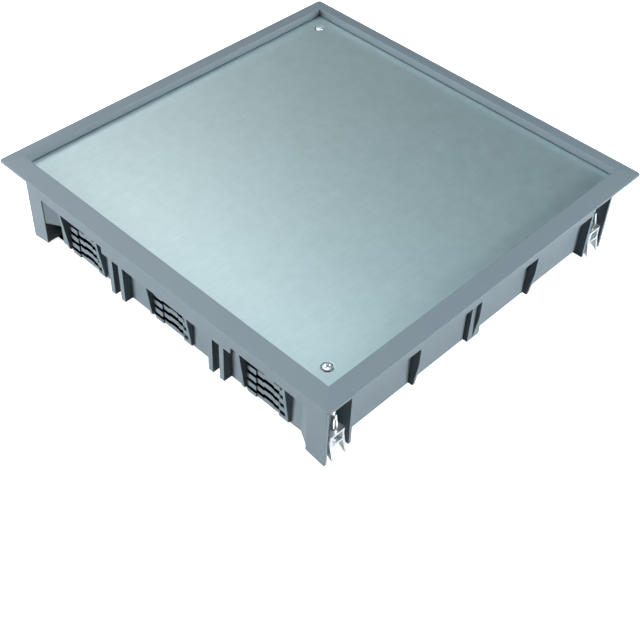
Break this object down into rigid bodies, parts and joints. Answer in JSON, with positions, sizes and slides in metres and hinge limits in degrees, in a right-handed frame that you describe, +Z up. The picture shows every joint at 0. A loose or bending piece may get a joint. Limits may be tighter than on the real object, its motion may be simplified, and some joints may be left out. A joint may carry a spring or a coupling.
{
  "type": "floor box cover",
  "caption": "Square floor box cover: a ribbed plastic frame with a sloping flange and slotted walls, a steel plate screwed into its recess, and screw-driven claws that grip the floor.",
  "frame": {"origin": "centre of the cover, on the plane of its feet", "axes": "+Z up out of the floor, +X to the right along the walls that carry the racks, +Y to the back"},
  "size_m": [0.264, 0.264, 0.0595],
  "materials": {
    "frame_plastic": "fine matt moulded surface",
    "plate_steel": "zinc-coated sheet with a fine straight grain",
    "screw_steel": "bright zinc plating",
    "claw_zinc": "bright zinc plating",
    "insert_brass": "turned"
  },
  "bodies": {
    "cover": {"frame": "frame_plastic", "cover_plate": "plate_steel", "cover_screw_front_right": "screw_steel", "cover_screw_rear_left": "screw_steel", "cover_insert_front_right": "insert_brass", "cover_insert_rear_left": "insert_brass"},
    "claw_front_right": {"claw_front_right": "claw_zinc", "claw_nut_front_right": "claw_zinc", "claw_spring_front_right": "claw_zinc"},
    "claw_front_left": {"claw_front_left": "claw_zinc", "claw_nut_front_left": "claw_zinc", "claw_spring_front_left": "claw_zinc"},
    "claw_rear_right": {"claw_rear_right": "claw_zinc", "claw_nut_rear_right": "claw_zinc", "claw_spring_rear_right": "claw_zinc"},
    "claw_rear_left": {"claw_rear_left": "claw_zinc", "claw_nut_rear_left": "claw_zinc", "claw_spring_rear_left": "claw_zinc"},
    "screw_front_right": {"claw_screw_front_right": "screw_steel"},
    "screw_front_left": {"claw_screw_front_left": "screw_steel"},
    "screw_rear_right": {"claw_screw_rear_right": "screw_steel"},
    "screw_rear_left": {"claw_screw_rear_left": "screw_steel"}
  },
  "joints": [
    {"name": "screw_turn_front_right", "type": "hinge", "parent": "cover", "child": "screw_front_right", "pos_m": [0.1172, -0.113, 0.0486], "axis": [0, 0, -1], "range_deg": [0, 7715]},
    {"name": "screw_turn_front_left", "type": "hinge", "parent": "cover", "child": "screw_front_left", "pos_m": [-0.1172, -0.113, 0.0486], "axis": [0, 0, -1], "range_deg": [0, 7715]},
    {"name": "screw_turn_rear_right", "type": "hinge", "parent": "cover", "child": "screw_rear_right", "pos_m": [0.1172, 0.113, 0.0486], "axis": [0, 0, -1], "range_deg": [0, 7715]},
    {"name": "screw_turn_rear_left", "type": "hinge", "parent": "cover", "child": "screw_rear_left", "pos_m": [-0.1172, 0.113, 0.0486], "axis": [0, 0, -1], "range_deg": [0, 7715]},
    {"name": "claw_lift_front_right", "type": "slide", "parent": "cover", "child": "claw_front_right", "axis": [0, 0, 1], "range_m": [0, 0.015]},
    {"name": "claw_lift_front_left", "type": "slide", "parent": "cover", "child": "claw_front_left", "axis": [0, 0, 1], "range_m": [0, 0.015]},
    {"name": "claw_lift_rear_right", "type": "slide", "parent": "cover", "child": "claw_rear_right", "axis": [0, 0, 1], "range_m": [0, 0.015]},
    {"name": "claw_lift_rear_left", "type": "slide", "parent": "cover", "child": "claw_rear_left", "axis": [0, 0, 1], "range_m": [0, 0.015]}
  ],
  "couplings": [
    {"joint": "screw_turn_front_right", "follows": "claw_lift_front_right", "rad_per_m": 8976},
    {"joint": "screw_turn_front_left", "follows": "claw_lift_front_left", "rad_per_m": 8976},
    {"joint": "screw_turn_rear_right", "follows": "claw_lift_rear_right", "rad_per_m": 8976},
    {"joint": "screw_turn_rear_left", "follows": "claw_lift_rear_left", "rad_per_m": 8976}
  ]
}
